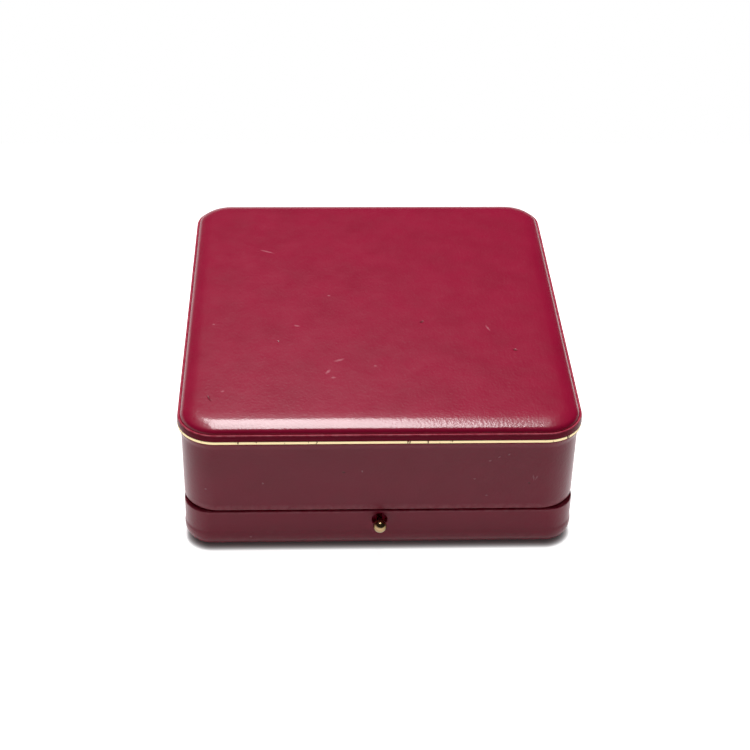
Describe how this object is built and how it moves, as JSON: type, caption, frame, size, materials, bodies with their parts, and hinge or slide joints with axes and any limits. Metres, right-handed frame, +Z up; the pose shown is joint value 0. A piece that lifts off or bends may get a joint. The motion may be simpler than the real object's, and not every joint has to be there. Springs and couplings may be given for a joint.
{
  "type": "leather jewelry box",
  "caption": "Hinged jewelry box covered in glossy burgundy leather, with a crowned deep lid, a gilt line round its lip and a brass ball push button that frees the latch.",
  "frame": {"origin": "middle of the panel under the box, on the surface that it stands on", "axes": "+Z up, -Y towards the push button at the front, +X to the right seen from the front"},
  "size_m": [0.12, 0.1388, 0.0465],
  "materials": {
    "leather": "smooth glossy burgundy leather with light scuffs",
    "gilt": "thin gilt line, slightly worn",
    "brass": "polished brass",
    "spring_steel": "plain spring steel",
    "wood": "bare pale wood",
    "velvet": "dark burgundy short pile velvet",
    "satin": "cream satin",
    "underside": "dark felt"
  },
  "bodies": {
    "base": {"base_board": "wood", "base_frame": "wood", "base_leather": "leather", "underside_panel": "underside", "base_wall_lining": "velvet", "base_floor_lining": "velvet", "velvet_platform": "velvet", "bracelet_pad": "velvet", "left_hinge_base_leaf": "brass", "right_hinge_base_leaf": "brass", "left_hinge_pin": "brass", "right_hinge_pin": "brass", "base_hinge_screws": "brass", "button_bush": "brass", "latch_case": "brass", "latch_spring": "spring_steel", "strike_plate": "brass", "strike_screws": "brass"},
    "lid": {"lid_frame": "wood", "lid_top_board": "wood", "lid_top_leather": "leather", "lid_wall_leather": "leather", "gilt_line": "gilt", "lid_wall_lining": "satin", "lid_pad": "satin", "left_hinge_lid_leaf": "brass", "right_hinge_lid_leaf": "brass", "lid_hinge_screws": "brass", "keeper": "brass", "keeper_screws": "brass"},
    "button": {"push_button": "brass", "latch_slide": "brass", "latch_nut": "brass"}
  },
  "joints": [
    {"name": "lid_hinge", "type": "hinge", "parent": "base", "child": "lid", "pos_m": [0, 0.06635, 0.01515], "axis": [-1, 0, 0], "range_deg": [0, 100]},
    {"name": "button_press", "type": "slide", "parent": "base", "child": "button", "axis": [0, 1, 0], "range_m": [0, 0.002], "stiffness_N_per_m": 300, "springref_m": -0.001, "deforming": ["latch_spring"]}
  ]
}
